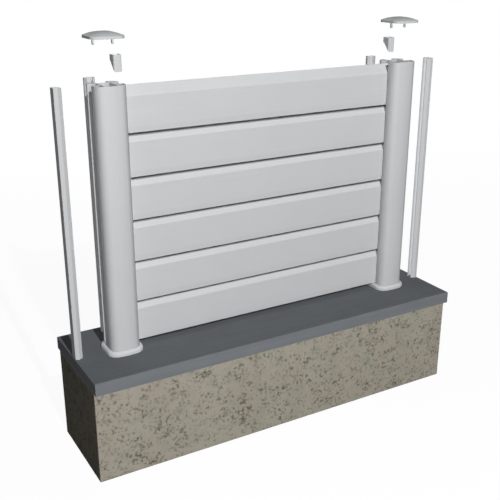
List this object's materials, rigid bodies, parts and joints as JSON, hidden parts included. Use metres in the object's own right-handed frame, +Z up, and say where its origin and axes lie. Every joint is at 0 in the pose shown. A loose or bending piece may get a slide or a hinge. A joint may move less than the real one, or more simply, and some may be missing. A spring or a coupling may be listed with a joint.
{
  "type": "pvc fence panel on a low wall",
  "caption": "Bay of a PVC fence: boards stacked between slotted posts on a coped wall, with post caps, wedges and slot cover strips set apart.",
  "frame": {"origin": "centre of the wall's underside, on the ground", "axes": "+X along the fence to the right, +Y from the front to the back, +Z up"},
  "size_m": [1, 0.265, 0.9714],
  "materials": {
    "pvc": "smooth pale grey extruded PVC, satin",
    "coping_stone": "dark grey cast stone, honed",
    "wall_render": "beige grey speckled granite finish"
  },
  "bodies": {
    "root": {"masonry_wall": "wall_render", "coping_slab": "coping_stone", "left_post": "pvc", "right_post": "pvc", "left_foot_collar": "pvc", "right_foot_collar": "pvc", "left_board_seat": "pvc", "right_board_seat": "pvc", "board_1": "pvc", "board_2": "pvc", "board_3": "pvc", "board_4": "pvc", "board_5": "pvc", "board_6": "pvc", "left_cap": "pvc", "right_cap": "pvc", "left_wedge": "pvc", "right_wedge": "pvc", "left_cover_strip": "pvc", "right_cover_strip": "pvc", "left_rear_strip": "pvc", "right_rear_strip": "pvc"}
  },
  "joints": []
}
